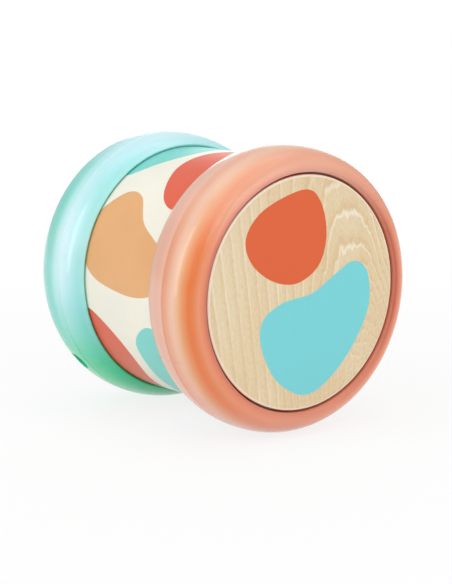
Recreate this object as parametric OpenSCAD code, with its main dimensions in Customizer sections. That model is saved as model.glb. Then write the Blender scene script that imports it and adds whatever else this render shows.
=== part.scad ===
// Rolling baby drum: two hollow rings on a printed barrel, a sprung wooden head at one end
// and a service cover at the other. Millimetres, +X along the drum axis towards the wooden head,
// +Z up, origin on the floor under the middle of the drum.

/* [Rings] */
// Outer diameter of both rings
ring_d = 130; // [125:1:140]
// Axial distance between the middles of the two rings
ring_gap = 88; // [84:1:100]
// Radial height of the round section above its base
ring_drop = 10; // [9:0.5:11]
// Half width of the ring towards the drum's end
ring_front = 17.5; // [16:0.5:19]
// Half width of the ring towards the barrel, before its lip cuts it
ring_back = 19.2; // [18.5:0.1:20]
// Fullness of the section: 2 is an ellipse
ring_power = 2.1; // [2:0.05:2.6]
// Wall of the hollow ring
ring_wall = 2.4; // [1.8:0.1:3]
// Radius of the round well that takes the head or the cover
well_r = 53.5; // [52:0.5:54]
// Diameter of the screw recesses in the rear ring
recess_d = 10.5; // [8:0.5:12]

/* [Barrel] */
// Outer diameter of the printed barrel
barrel_d = 116; // [112:1:117]
// Thickness of the printed sleeve
sleeve_t = 1; // [0.6:0.1:1.4]
// Wall of the tube under the sleeve
tube_wall = 2.4; // [1.8:0.1:3]

/* [Wooden head] */
// Diameter of the wooden head
head_d = 105.6; // [100:0.2:106]
// Thickness of the wooden head
head_t = 5; // [4:0.5:6]
// Rounding of its front edge
head_round = 1.5; // [0.5:0.1:2]
// How far a tap pushes the head in
head_travel = 1.2; // [0.6:0.1:1.4]
// Turns in each return spring
spring_turns = 6; // [4:1:7]

/* [Rear cover] */
// Diameter of the rear cover
cover_d = 106; // [102:0.5:106.4]
// Diameter of the loudspeaker
speaker_d = 36; // [32:1:38]
// Travel of the power switch
switch_travel = 4; // [3:0.5:5]
// Width of the battery door across the drum
door_w = 54; // [52:1:56]

/* [Hidden] */
$fn = 96;
steps = 14;

// Ring section: base radius, inner wall and the seam between its two shells; the front ring parts
// at its crest, the rear one short of its screw recesses
ring_r = ring_d / 2;
ring_mid = ring_gap / 2;
ring_base = ring_r - ring_drop;
lip_round = 2;
barrel_r = barrel_d / 2;
lip_gap = 0.2;
barrel_lip_r = 1;
barrel_lip = barrel_r + lip_gap + barrel_lip_r;
well_bottom = 9;
inner_base = well_r + 1.8;
inner_drop = ring_r - ring_wall - inner_base;
coral_seam = 0;
teal_seam = -5;
seam_groove = 0.5;
rib_t = 1.5;

// Frames that carry the rings: a plate at each end of the tube
tube_r = barrel_r - sleeve_t;
tube_in = tube_r - tube_wall;
tube_half = ring_mid + 0.5;
sleeve_half = 30;
frame_r = 60.5;
frame_t = 2.5;
frame_top = tube_half + frame_t;
spigot_t = 3;
spigot_h = 10;
pilot_r = 1.2;
clear_r = 1.3;
screw_r = 1.15;
screw_head_r = 2.6;
tube_screw_z = tube_half - 5;
tube_screw_head = [2.2, 1.2];
tube_screw_l = 5;
quarter_turns = [45:90:315];

// Wooden head and its sprung tray
head_r = head_d / 2;
head_face = ring_mid + 16;
head_back = head_face - head_t;
tray_flange_r = well_r + 2.3;
tray_r = well_r - 1.5;
tray_bottom = head_back - 4;
tray_flange_top = ring_mid + well_bottom - 0.2;
post_r = 2;
post_gap = 0.1;
post_at = 38;
post_end = 33;
cup_r = 6;
cup_in = 4.6;
cup_floor = 36;
cup_floor_t = 2;
spring_d = 6.8;
spring_wire = 0.9;
spring_rings = 10;
spring_sides = 6;
tray_screw_at = 25;
tray_screw_head_h = 1.2;
tray_screw_angles = [0, 120, 240];
board_t = 1.6;
board_r = 18;
board_hole_r = 12;
switch_w = 12;
switch_h = 3.4;
plunger_r = 3.4;
nub_gap = 0.1;
plunger_top = tray_bottom - head_travel - nub_gap;
light_t = 1.2;
light_in = 44;
light_out = 53;
led_at = 51.4;
led_count = 8;
led_size = [2.4, 3, 0.8];

// Rear ring recesses: two radial screw wells in the tread, half a turn apart
recess_angles = [-48, 132];
recess_s = 4.5;
recess_floor = 59.4;
recess_wall = 1.5;
recess_gap = 0.3;
rib_r = 57.5;
back_rib_r = 58.6;
recess_base = rib_r - 0.3;
recess_screw_hole_r = 1.5;
recess_screw_head_h = 1.6;
lug_floor = 53.5;
lug = [recess_base - 0.4 - lug_floor, 9, 6.5];

// Rear cover layout, seen along the axis: +x is down
cover_r = cover_d / 2;
cover_face = ring_mid + 14.5;
cover_t = 2.5;
cover_in = cover_r - 2;
cover_flange_r = well_r + 1.3;
frame_open = cover_in + 0.4;
speaker_at = -25;
grille_hole_r = 1.5;
grille_pitch = 5;
bay_low = 42.5;
bay_high = 18;
bay_half = 24.5;
bay_depth = 13;
bay_wall = 1.5;
door_t = 2;
door_gap = 0.3;
door_edge = 1;
lug_w = 11;
lug_x = 9;
lug_screw_x = 13;
cell_r = 5.2;
cell_half = 22;
cell_x = [24.4, 36];
cell_tip = [1.8, 1];
contact = [8, 0.5, 10];
contact_cone = [3, 2, 2];
cover_edge = 1;
door_boss = [3.2, 9];
door_screw_hole_r = 1.4;
door_sink = 1.2;
grip_x = [28:3:40];
grip = [1, 16, 0.5];
speaker_wall = 1.5;
speaker_h = 5;
board_post_r = 2.5;
board_post_y = 18;
knob_x = 1;
pocket = [8, 18, 1.2];
slot = [3.4, 10];
main_board_z = 36;
main_board_size = [28, 46, board_t];

// Lays a drum standing on its rear end down on the floor
module lay() {
    translate([0, 0, ring_r]) rotate([0, 90, 0]) children();
}

// Puts a child at a radius and an angle, where 0 degrees is down and +90 is towards +Y
module polar(r, a) {
    rotate([0, 0, a]) translate([r, 0, 0]) children();
}

module flip() {
    mirror([0, 0, 1]) children();
}

module pipe(r_out, r_in, h) {
    difference() {
        cylinder(r = r_out, h = h);
        translate([0, 0, -1]) cylinder(r = r_in, h = h + 2);
    }
}

// One quarter of a rounded section, from the crest (t = 0) to the side (t = 90)
function round_quarter(base, drop, half, t) =
    [base + drop * pow(cos(t), 2 / ring_power), half * pow(sin(t), 2 / ring_power)];

// Angle at which the barrel side of the section comes down to the lip
lip_t = acos(pow((barrel_lip - ring_base) / ring_drop, ring_power / 2));
lip_s = -round_quarter(ring_base, ring_drop, ring_back, lip_t)[1];
inner_t = acos(pow((barrel_lip + 0.8 - inner_base) / inner_drop, ring_power / 2));

outer_curve = concat(
    [for (i = [0:steps])
        [barrel_lip - barrel_lip_r * cos(90 * i / steps),
         lip_s + barrel_lip_r - barrel_lip_r * sin(90 * i / steps)]],
    [for (i = [1:steps])
        let (q = round_quarter(ring_base, ring_drop, ring_back, lip_t * (1 - i / steps)))
        [q[0], -q[1]]],
    [for (i = [1:steps]) round_quarter(ring_base, ring_drop, ring_front, 90 * i / steps)],
    [for (i = [1:steps])
        [ring_base - (ring_base - well_r) * sin(90 * i / steps),
         ring_front - lip_round + lip_round * cos(90 * i / steps)]]
);
inner_arch = concat(
    [for (i = [0:steps])
        round_quarter(inner_base, inner_drop, ring_front - ring_wall, 90 * (1 - i / steps))],
    [for (i = [1:steps])
        let (q = round_quarter(inner_base, inner_drop, ring_back - ring_wall, inner_t * i / steps))
        [q[0], -q[1]]]
);
inner_curve = concat([[well_r, well_bottom], [inner_base, well_bottom]], inner_arch,
                     [[barrel_lip - barrel_lip_r, lip_s + 3]]);

// Whole section of a hollow ring, in radius and distance from the ring's middle
module ring_section() {
    polygon(concat(outer_curve, inner_curve));
}

// The same ring filled in down to the well, and the hollow that empties it
module ring_filled() {
    polygon(concat(outer_curve, [[well_r, lip_s + barrel_lip_r]]));
}

module ring_hollow() {
    polygon(concat([[well_r - 2, lip_s], [well_r - 2, well_bottom], [inner_base, well_bottom]],
                   inner_arch, [[barrel_lip + 0.8, lip_s]]));
}

// Small V groove where the two shells of a ring meet
module seam_notch(seam) {
    seam_t = asin(pow(-seam / ring_back, ring_power / 2));
    translate([round_quarter(ring_base, ring_drop, ring_back, seam_t)[0], seam])
        rotate(45) square(seam_groove, center = true);
}

// Shell on the end side of a seam, with a rib that stops short of the frame by a gap
// and with any posts given as children left standing in its hollow
module end_shell(seam, rib_gap) {
    difference() {
        rotate_extrude() difference() {
            intersection() {
                ring_filled();
                translate([well_r - 1, seam]) square([ring_drop + 5, 40]);
            }
            seam_notch(seam);
        }
        difference() {
            rotate_extrude() difference() {
                ring_hollow();
                translate([rib_r, frame_top - ring_mid + rib_gap]) square([rib_t, ring_front]);
            }
            children();
        }
    }
}

// Shell on the barrel side of a seam, with the rib behind the frame
module barrel_shell(seam) {
    rotate_extrude() difference() {
        union() {
            intersection() {
                ring_section();
                translate([well_r - 1, seam - 40]) square([ring_drop + 5, 40]);
            }
            translate([back_rib_r, lip_s + 2]) square([rib_t, tube_half - ring_mid - lip_s - 2]);
        }
        seam_notch(seam);
    }
}

module coral_ring_front() {
    color("coral") lay() translate([0, 0, ring_mid]) end_shell(coral_seam, 0);
}

module coral_ring_back() {
    color("lightsalmon") lay() translate([0, 0, ring_mid]) barrel_shell(coral_seam);
}

// Puts a child at a recess: its z axis points out along the radius, from the drum axis
module at_recess() {
    for (a = recess_angles) rotate([0, 0, a]) translate([0, 0, recess_s]) rotate([0, 90, 0]) children();
}

// Round post around a recess, grown by a gap for the pieces that make room for it
module recess_post(gap) {
    at_recess() translate([0, 0, recess_base - gap])
        cylinder(d = recess_d + 2 * (recess_wall + gap), h = ring_drop);
}

module teal_ring_outer() {
    color("mediumturquoise") lay() flip() translate([0, 0, ring_mid]) difference() {
        end_shell(teal_seam, 0.4) recess_post(0);
        at_recess() translate([0, 0, recess_floor]) cylinder(d = recess_d, h = ring_drop);
        at_recess() translate([0, 0, recess_base - 1]) cylinder(r = recess_screw_hole_r, h = 4);
    }
}

module teal_ring_back() {
    color("aquamarine") lay() flip() translate([0, 0, ring_mid]) difference() {
        barrel_shell(teal_seam);
        recess_post(recess_gap);
    }
}

// Pan-head screw: its shaft runs up from z = 0 and its cross-slotted head hangs below
module pan_screw(r, head_r, head_h, length) {
    cylinder(r = r, h = length);
    difference() {
        translate([0, 0, -head_h]) cylinder(r = head_r, h = head_h);
        for (a = [0, 90]) rotate([0, 0, a]) translate([-head_r * 0.6, -0.3, -head_h - 1])
            cube([head_r * 1.2, 0.6, 1 + head_h * 0.5]);
    }
}

module teal_ring_screws() {
    color("silver") lay() flip() translate([0, 0, ring_mid]) at_recess()
        translate([0, 0, recess_floor]) flip()
            pan_screw(screw_r, screw_head_r, recess_screw_head_h, recess_floor - lug_floor - 0.5);
}

module barrel_tube() {
    color("ivory") lay() difference() {
        translate([0, 0, -tube_half]) pipe(tube_r, tube_in, 2 * tube_half);
        for (z = [-tube_screw_z, tube_screw_z], a = quarter_turns)
            translate([0, 0, z]) rotate([0, 0, a]) rotate([0, 90, 0]) cylinder(r = clear_r, h = tube_r + 5);
    }
}

module barrel_sleeve() {
    color("oldlace") lay() translate([0, 0, -sleeve_half]) pipe(barrel_r, tube_r, 2 * sleeve_half);
}

// Radial screws that hold the tube on the frames' spigots, under the rings
module tube_screws() {
    color("silver") lay() for (z = [-tube_screw_z, tube_screw_z], a = quarter_turns)
        translate([0, 0, z]) rotate([0, 0, a]) translate([tube_r, 0, 0])
            rotate([0, -90, 0]) pan_screw(screw_r, tube_screw_head[0], tube_screw_head[1], tube_screw_l);
}

module spigot_holes() {
    for (a = quarter_turns) translate([0, 0, tube_screw_z]) rotate([0, 0, a]) rotate([0, 90, 0])
        cylinder(r = pilot_r, h = tube_r);
}

module front_frame() {
    color("whitesmoke") lay() difference() {
        union() {
            translate([0, 0, tube_half]) cylinder(r = frame_r, h = frame_t);
            translate([0, 0, tube_half - spigot_h]) pipe(tube_in - 0.1, tube_in - spigot_t, spigot_h + 1);
            for (a = quarter_turns) polar(post_at, a) translate([0, 0, cup_floor - cup_floor_t])
                cylinder(r = cup_r, h = tube_half - cup_floor + 3);
        }
        for (a = quarter_turns) polar(post_at, a) {
            translate([0, 0, cup_floor]) cylinder(r = cup_in, h = 20);
            translate([0, 0, cup_floor - 5]) cylinder(r = post_r + post_gap, h = 20);
        }
        translate([0, 0, tube_half - 1]) cylinder(r = board_hole_r, h = 10);
        spigot_holes();
    }
}

// Sprung tray under the wooden head: flange caught by the ring's well, four guide posts, a nub
module head_tray() {
    color("gainsboro") lay() difference() {
        union() {
            translate([0, 0, tray_bottom]) cylinder(r = tray_flange_r, h = tray_flange_top - tray_bottom);
            translate([0, 0, tray_bottom]) cylinder(r = tray_r, h = head_back - tray_bottom);
            for (a = quarter_turns) polar(post_at, a)
                translate([0, 0, post_end]) cylinder(r = post_r, h = tray_bottom - post_end + 1);
        }
        for (a = tray_screw_angles) polar(tray_screw_at, a)
            translate([0, 0, tray_bottom - 1]) cylinder(r = clear_r, h = 10);
    }
}

module tray_screws() {
    color("silver") lay() for (a = tray_screw_angles) polar(tray_screw_at, a) translate([0, 0, tray_bottom])
        pan_screw(screw_r, screw_head_r, tray_screw_head_h, head_back - tray_bottom);
}

module drum_head() {
    color("burlywood") lay() translate([0, 0, head_back]) rotate_extrude() {
        square([head_r - head_round, head_t]);
        square([head_r, head_t - head_round]);
        intersection() {
            translate([head_r - head_round, head_t - head_round]) circle(r = head_round);
            translate([1, 0]) square([head_r, head_t]);
        }
    }
}

// Round wire wound about z from z0 to z1, as one tube
module coil(d, wire, z0, z1, turns) {
    n = turns * spring_rings;
    s = spring_sides;
    points = [for (i = [0:n], k = [0:s - 1])
        let (a = 360 * turns * i / n, b = 360 * k / s, r = d / 2 + wire / 2 * cos(b))
        [r * cos(a), r * sin(a), z0 + (z1 - z0) * i / n + wire / 2 * sin(b)]];
    sides = [for (i = [0:n - 1], k = [0:s - 1])
        let (p = i * s + k, q = i * s + (k + 1) % s)
        each [[p, q, q + s], [p, q + s, p + s]]];
    caps = [for (k = [1:s - 2]) each [[0, k + 1, k], [n * s, n * s + k, n * s + k + 1]]];
    polyhedron(points, concat(sides, caps));
}

spring_low = cup_floor + spring_wire / 2 + 0.05;
spring_high = tray_bottom - spring_wire / 2 - 0.05;
echo("least gap between turns", (spring_high - spring_low) / spring_turns - spring_wire);

module head_springs() {
    color("lightgray") lay() for (a = quarter_turns) polar(post_at, a)
        coil(spring_d, spring_wire, spring_low, spring_high, spring_turns);
}

module tap_board() {
    color("seagreen") lay() translate([0, 0, tube_half - board_t]) cylinder(r = board_r, h = board_t);
}

module tap_switch() {
    color("dimgray") lay() translate([0, 0, tube_half]) {
        translate([-switch_w / 2, -switch_w / 2, 0]) cube([switch_w, switch_w, switch_h]);
        cylinder(r = plunger_r, h = plunger_top - tube_half);
    }
}

module light_board() {
    translate([0, 0, frame_top]) pipe(light_out, light_in, light_t);
}

module light_leds() {
    for (i = [0:led_count - 1]) polar(led_at, 360 * i / led_count)
        translate([-led_size[0] / 2, -led_size[1] / 2, frame_top + light_t]) cube(led_size);
}

module front_light_board() {
    color("honeydew") lay() difference() {
        light_board();
        for (a = quarter_turns) polar(post_at, a) cylinder(r = cup_in + 0.2, h = 100);
    }
}

module front_leds() {
    color("lightyellow") lay() light_leds();
}

// Lugs of the rear frame that take the ring's radial screws
module ring_lugs(gap) {
    for (a = recess_angles) rotate([0, 0, a])
        translate([lug_floor - gap, -lug[1] / 2 - gap, frame_top - 1])
            cube([lug[0] + 2 * gap, lug[1] + 2 * gap, lug[2] + gap]);
}

module rear_frame() {
    color("whitesmoke") lay() flip() difference() {
        union() {
            translate([0, 0, tube_half]) pipe(frame_r, frame_open, frame_t);
            translate([0, 0, tube_half - spigot_h]) pipe(tube_in - 0.1, frame_open, spigot_h + 1);
            ring_lugs(0);
        }
        translate([0, 0, ring_mid]) {
            recess_post(recess_gap);
            at_recess() translate([0, 0, lug_floor - 1]) cylinder(r = pilot_r, h = 10);
        }
        spigot_holes();
    }
}

module rear_light_board() {
    color("honeydew") lay() flip() translate([0, 0, frame_top - frame_t - spigot_h - light_t])
        pipe(light_out, light_in + 3, light_t);
}

module rear_leds() {
    color("lightyellow") lay() flip() translate([0, 0, -frame_t - spigot_h - 2 * light_t - led_size[2]])
        light_leds();
}

// Hole places of the loudspeaker grille: a hexagonal field inside the speaker's edge
grille = [for (i = [-3:3], j = [-3:3])
    let (p = [grille_pitch * (i + j / 2), grille_pitch * j * sqrt(3) / 2])
    if (norm(p) < speaker_d / 2 - 3) p];

// Service cover: shallow cup with a grille, a battery bay, a screw boss and the switch pocket
module rear_cover() {
    inner_face = cover_face - cover_t;
    bay_floor = cover_face - door_t - bay_depth;
    color("paleturquoise") lay() flip() difference() {
        union() {
            rotate_extrude() {
                translate([0, inner_face]) square([cover_r - cover_edge, cover_t]);
                translate([cover_in, frame_top])
                    square([cover_r - cover_in, cover_face - cover_edge - frame_top]);
                translate([cover_in, frame_top])
                    square([cover_flange_r - cover_in, ring_mid + well_bottom - 0.1 - frame_top]);
                intersection() {
                    translate([cover_r - cover_edge, cover_face - cover_edge]) circle(r = cover_edge);
                    translate([1, 0]) square([cover_r, cover_face]);
                }
            }
            translate([bay_high - bay_wall, -bay_half - bay_wall, bay_floor - bay_wall])
                cube([bay_low - bay_high + 2 * bay_wall, 2 * (bay_half + bay_wall), bay_depth + bay_wall]);
            translate([lug_screw_x, 0, inner_face - door_boss[1]])
                cylinder(r = door_boss[0], h = door_boss[1] + 0.5);
            translate([speaker_at, 0, inner_face - speaker_h])
                pipe(speaker_d / 2 + 0.2 + speaker_wall, speaker_d / 2 + 0.2, speaker_h + 0.5);
            translate([knob_x - pocket[0] / 2 - 1, -pocket[1] / 2 - 1, inner_face - pocket[2]])
                cube([pocket[0] + 2, pocket[1] + 2, pocket[2] + 0.5]);
            for (x = cell_x, y = [-board_post_y, board_post_y]) translate([x, y, main_board_z])
                cylinder(r = board_post_r, h = bay_floor - bay_wall - main_board_z + 0.5);
        }
        ring_lugs(0.2);
        translate([bay_high, -bay_half, bay_floor]) cube([bay_low - bay_high, 2 * bay_half, 40]);
        door_outline(0, cover_face - door_t, 10);
        translate([lug_screw_x, 0, inner_face - door_boss[1] + 1]) cylinder(r = pilot_r, h = 20);
        for (p = grille) translate([speaker_at + p[0], p[1], 0]) cylinder(r = grille_hole_r, h = 100);
        translate([knob_x - pocket[0] / 2, -pocket[1] / 2, cover_face - pocket[2]])
            cube([pocket[0], pocket[1], 10]);
        translate([knob_x - slot[0] / 2, -slot[1] / 2, 0]) cube([slot[0], slot[1], 100]);
    }
}

// Outline of the battery door with its screw lug, shrunk by a gap all round
module door_outline(gap, z, h) {
    translate([bay_high - door_edge + gap, -door_w / 2 + gap, z])
        cube([bay_low - bay_high + 2 * door_edge - 2 * gap, door_w - 2 * gap, h]);
    translate([lug_x + gap, -lug_w / 2 + gap, z]) cube([bay_high - lug_x, lug_w - 2 * gap, h]);
}

module battery_door() {
    color("lightcyan") lay() flip() difference() {
        door_outline(door_gap, cover_face - door_t, door_t);
        translate([lug_screw_x, 0, 0]) cylinder(r = door_screw_hole_r, h = 100);
        translate([lug_screw_x, 0, cover_face - door_sink]) cylinder(r = screw_head_r + 0.2, h = 10);
        for (x = grip_x) translate([x, -grip[1] / 2, cover_face - grip[2]]) cube([grip[0], grip[1], 10]);
    }
}

module door_screw() {
    color("silver") lay() flip() translate([lug_screw_x, 0, cover_face - door_sink])
        flip() pan_screw(screw_r, screw_head_r, door_sink - 0.1, door_boss[1] - 3);
}

module batteries() {
    color("goldenrod") lay() flip() for (x = cell_x)
        translate([x, -cell_half, cover_face - door_t - cell_r - 2]) rotate([-90, 0, 0]) {
            cylinder(r = cell_r, h = 2 * cell_half - cell_tip[1]);
            cylinder(r = cell_tip[0], h = 2 * cell_half);
        }
}

// Sprung metal plates at the ends of the cells
module battery_contacts() {
    color("silver") lay() flip() for (x = cell_x, y = [-bay_half, bay_half - contact[1]])
        translate([x - contact[0] / 2, y, cover_face - door_t - 12]) {
            cube(contact);
            translate([contact[0] / 2, y < 0 ? contact[1] : 0, 4.8]) rotate([y < 0 ? -90 : 90, 0, 0])
                cylinder(r1 = contact_cone[0], r2 = contact_cone[1], h = contact_cone[2]);
        }
}

module main_board() {
    color("seagreen") lay() flip()
        translate([cell_x[0] - 12, -main_board_size[1] / 2, main_board_z - board_t]) cube(main_board_size);
}

module board_parts() {
    color("dimgray") lay() flip() translate([cell_x[0], 0, main_board_z - board_t]) flip() {
        translate([-5, -5, 0]) cube([10, 10, 1.5]);
        for (y = [-14, 14]) translate([8, y, 0]) cylinder(r = 3, h = 7);
        for (y = [-18, -9, 9, 18]) translate([-8, y - 2, 0]) cube([3, 4, 2]);
        translate([9, -8, 0]) cube([5, 16, 5]);
    }
}

module speaker_basket() {
    color("gray") lay() flip() translate([speaker_at, 0, cover_face - cover_t - speaker_h]) difference() {
        union() {
            pipe(speaker_d / 2, speaker_d / 2 - 2, speaker_h);
            translate([0, 0, -3]) pipe(speaker_d / 2 - 4, 6, 2);
            for (a = [0:60:300]) rotate([0, 0, a])
                translate([speaker_d / 2 - 6, -1.5, -3]) cube([5.5, 3, 4]);
        }
        translate([0, 0, 1]) cylinder(r = speaker_d / 2 - 2, h = 10);
    }
}

module speaker_cone() {
    color("black") lay() flip() translate([speaker_at, 0, cover_face - cover_t - speaker_h])
        rotate_extrude() polygon([[0, 0], [5, 0], [6, 1.2], [speaker_d / 2 - 2.2, 3.4],
                                  [speaker_d / 2 - 2.2, 4.2], [6, 2.2], [4, 1.6], [0, 2.4]]);
}

module speaker_magnet() {
    color("darkgray") lay() flip() translate([speaker_at, 0, cover_face - cover_t - 14]) {
        cylinder(r = 9, h = 6);
        cylinder(r = 5.8, h = 8.5);
    }
}

module power_switch_body() {
    color("dimgray") lay() flip() translate([knob_x - 3, -7, cover_face - cover_t - pocket[2] - 4])
        cube([6, 14, 4]);
}

// Slider of the power switch, in its off place at one end of the slot
module power_knob() {
    y = -switch_travel / 2;
    color("white") lay() flip() translate([knob_x, y, cover_face - cover_t - pocket[2]]) {
        translate([-slot[0] / 2 + 0.3, -2, 0.2]) cube([slot[0] - 0.6, 4, cover_t + 0.4]);
        translate([-2.6, -3.2, cover_t + 0.2]) cube([5.2, 6.4, 1.6]);
        for (d = [-2, 0, 2]) translate([-2.6, d - 0.3, cover_t + 1.8]) cube([5.2, 0.6, 0.3]);
    }
}

drum_head();
head_tray();
tray_screws();
head_springs();
front_frame();
tap_board();
tap_switch();
front_light_board();
front_leds();
coral_ring_front();
coral_ring_back();
barrel_tube();
barrel_sleeve();
tube_screws();
rear_frame();
teal_ring_outer();
teal_ring_back();
teal_ring_screws();
rear_light_board();
rear_leds();
rear_cover();
speaker_basket();
speaker_cone();
speaker_magnet();
battery_door();
door_screw();
batteries();
battery_contacts();
main_board();
board_parts();
power_switch_body();
power_knob();
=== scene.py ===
# Rolling baby drum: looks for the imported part, in metres, drum axis along X, wooden head at +X
import math
import bpy
import bmesh
import numpy as np
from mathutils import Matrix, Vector


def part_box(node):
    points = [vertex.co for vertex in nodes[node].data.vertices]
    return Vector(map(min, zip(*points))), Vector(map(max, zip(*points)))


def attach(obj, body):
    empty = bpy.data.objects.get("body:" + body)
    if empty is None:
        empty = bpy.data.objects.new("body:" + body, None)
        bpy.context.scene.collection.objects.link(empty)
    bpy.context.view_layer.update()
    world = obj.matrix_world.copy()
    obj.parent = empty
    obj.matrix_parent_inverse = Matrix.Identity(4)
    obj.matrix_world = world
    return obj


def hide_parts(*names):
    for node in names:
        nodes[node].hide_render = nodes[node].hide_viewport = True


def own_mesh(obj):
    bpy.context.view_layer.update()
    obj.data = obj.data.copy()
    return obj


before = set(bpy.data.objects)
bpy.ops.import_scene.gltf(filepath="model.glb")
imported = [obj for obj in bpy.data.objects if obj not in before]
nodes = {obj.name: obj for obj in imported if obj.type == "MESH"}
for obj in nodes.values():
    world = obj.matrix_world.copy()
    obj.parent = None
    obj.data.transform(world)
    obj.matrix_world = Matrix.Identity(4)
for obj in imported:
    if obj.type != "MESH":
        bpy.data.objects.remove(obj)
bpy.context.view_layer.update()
mm = 0.001
print("stage: frame loaded,", len(nodes), "nodes")

# Driving places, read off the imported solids
headLow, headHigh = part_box("drum_head")
sleeveLow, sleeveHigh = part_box("barrel_sleeve")
coralLow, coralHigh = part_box("coral_ring_front")
axisZ = 0.5 * (coralLow.z + coralHigh.z)
ringRadius = 0.5 * (coralHigh.z - coralLow.z)
barrelRadius = 0.5 * (sleeveHigh.z - sleeveLow.z)
headRadius = 0.5 * (headHigh.z - headLow.z)
headFace = headHigh.x


# sRGB colour in 0-255 to scene linear; the alpha is a share where a ramp uses it
def paint(r, g, b, share=1.0):
    c = np.array([r, g, b]) / 255.0
    linear = np.where(c <= 0.04045, c / 12.92, ((c + 0.055) / 1.055) ** 2.4)
    return (*linear.tolist(), share)


# The same colour, darker
def shade(colour, share):
    return (*(share * c for c in colour[:3]), 1.0)


# Mesh tools

cornerAngle = math.radians(40)  # an edge sharper than this is a corner to round


# A grid of points (rows, columns, 3) becomes quads, joined end to end where a direction closes;
# row fractions and column shares (plain fractions unless given) become the UV map
def gridObject(name, grid, closeRows=False, closeColumns=False, sharp=35, columnShare=None):
    rows, columns = grid.shape[:2]
    rowShare = np.arange(rows + 1) / max(rows - 1, 1)
    if columnShare is None:
        columnShare = np.arange(columns + 1) / max(columns - 1, 1)
    i = np.arange(rows if closeRows else rows - 1)
    j = np.arange(columns if closeColumns else columns - 1)
    a, b = np.meshgrid(i, j, indexing="ij")
    a2 = (a + 1) % rows
    b2 = (b + 1) % columns
    quads = np.stack([a * columns + b, a2 * columns + b, a2 * columns + b2, a * columns + b2], -1)
    quads = quads.reshape(-1, 4)
    turns = ((a, b), (a + 1, b), (a + 1, b + 1), (a, b + 1))
    uv = np.stack([np.stack([rowShare[m], columnShare[n]], -1) for m, n in turns], 2).reshape(-1, 2)
    mesh = bpy.data.meshes.new(name)
    mesh.vertices.add(rows * columns)
    mesh.vertices.foreach_set("co", grid.reshape(-1).astype(np.float32))
    mesh.loops.add(quads.size)
    mesh.loops.foreach_set("vertex_index", quads.reshape(-1).astype(np.int32))
    mesh.polygons.add(len(quads))
    mesh.polygons.foreach_set("loop_start", np.arange(0, quads.size, 4, dtype=np.int32))
    mesh.uv_layers.new(name="grid")
    mesh.update(calc_edges=True)
    mesh.uv_layers["grid"].data.foreach_set("uv", uv.reshape(-1).astype(np.float32))
    mesh.validate()
    obj = bpy.data.objects.new(name, mesh)
    bpy.context.scene.collection.objects.link(obj)
    closeUp(obj, sharp)
    return obj


# Merges doubles at poles, points faces outwards and keeps edges over the given angle crisp
def closeUp(obj, sharp=35):
    work = bmesh.new()
    work.from_mesh(obj.data)
    bmesh.ops.remove_doubles(work, verts=work.verts, dist=1e-7)
    bmesh.ops.dissolve_degenerate(work, edges=work.edges, dist=1e-8)
    bmesh.ops.recalc_face_normals(work, faces=work.faces)
    work.to_mesh(obj.data)
    work.free()
    obj.data.shade_smooth()
    obj.data.set_sharp_from_angle(angle=math.radians(sharp))


def dress(obj, body, material, slot, *replaced):
    obj.data.materials.clear()
    obj.data.materials.append(material)
    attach(obj, body)
    for node in replaced:
        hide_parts(node)


# A section of (distance along the axis, radius) turned about the drum axis; angle 0 is level
# on the -Y side and +90 degrees is up
def turned(section, angles):
    s, r = section[:, 0], section[:, 1]
    x = np.broadcast_to(s, (len(angles), len(s)))
    y = -np.cos(angles)[:, None] * r[None, :]
    z = axisZ + np.sin(angles)[:, None] * r[None, :]
    return np.stack([x, y, z], -1)


# Rows of angles over a full turn, with extra rows close to the mould lines
def turnAngles(count, lines=(), widths=()):
    base = np.arange(count) * 2 * np.pi / count
    extra = [line + w for line in lines for w in widths]
    return np.unique(np.round(np.mod(np.concatenate([base, extra]), 2 * np.pi), 7))


# Part of an ellipse about a centre, from angle a0 to a1 in degrees
def arc(centre, radii, a0, a1, count):
    t = np.radians(np.linspace(a0, a1, count))
    return np.stack([centre[0] + radii[0] * np.cos(t), centre[1] + radii[1] * np.sin(t)], -1)


# Smooth closed curve through a few points: periodic Catmull-Rom, evaluated between each pair
def closedCurve(points, perSpan=14):
    p = np.array(points, float)
    t = np.linspace(0, 1, perSpan, endpoint=False)[None, :, None]
    p0, p1, p2, p3 = (np.roll(p, k, 0)[:, None, :] for k in (1, 0, -1, -2))
    curve = 0.5 * (2 * p1 + (p2 - p0) * t + (2 * p0 - 5 * p1 + 4 * p2 - p3) * t ** 2
                   + (3 * p1 - p0 - 3 * p2 + p3) * t ** 3)
    return curve.reshape(-1, 2)


# Material tools

def newMaterial(name):
    material = bpy.data.materials.new(name)
    material.use_nodes = True
    tree = material.node_tree
    return material, tree, tree.nodes["Principled BSDF"]


def addNode(tree, kind, **settings):
    node = tree.nodes.new(kind)
    for key, value in settings.items():
        if key in node.inputs.keys():
            node.inputs[key].default_value = value
        else:
            setattr(node, key, value)
    return node


# Links another node's output into a socket, or sets a plain value on it
def feed(tree, socket, value):
    if hasattr(value, "is_output"):
        tree.links.new(value, socket)
    else:
        socket.default_value = value


def setSockets(tree, shader, values):
    for name, value in values.items():
        feed(tree, shader.inputs[name], value)


def ramp(tree, factor, stops):
    node = tree.nodes.new("ShaderNodeValToRGB")
    elements = node.color_ramp.elements
    while len(elements) < len(stops):
        elements.new(0.5)
    for element, (place, colour) in zip(elements, stops):
        element.position = place
        element.color = colour
    tree.links.new(factor, node.inputs["Fac"])
    return node.outputs["Color"]


def grey(value):
    return (value, value, value, 1)


# Nought to one between two levels of a value
def mask(tree, value, low, high, least=0):
    return ramp(tree, value, [(low, grey(least)), (high, grey(1))])


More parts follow.
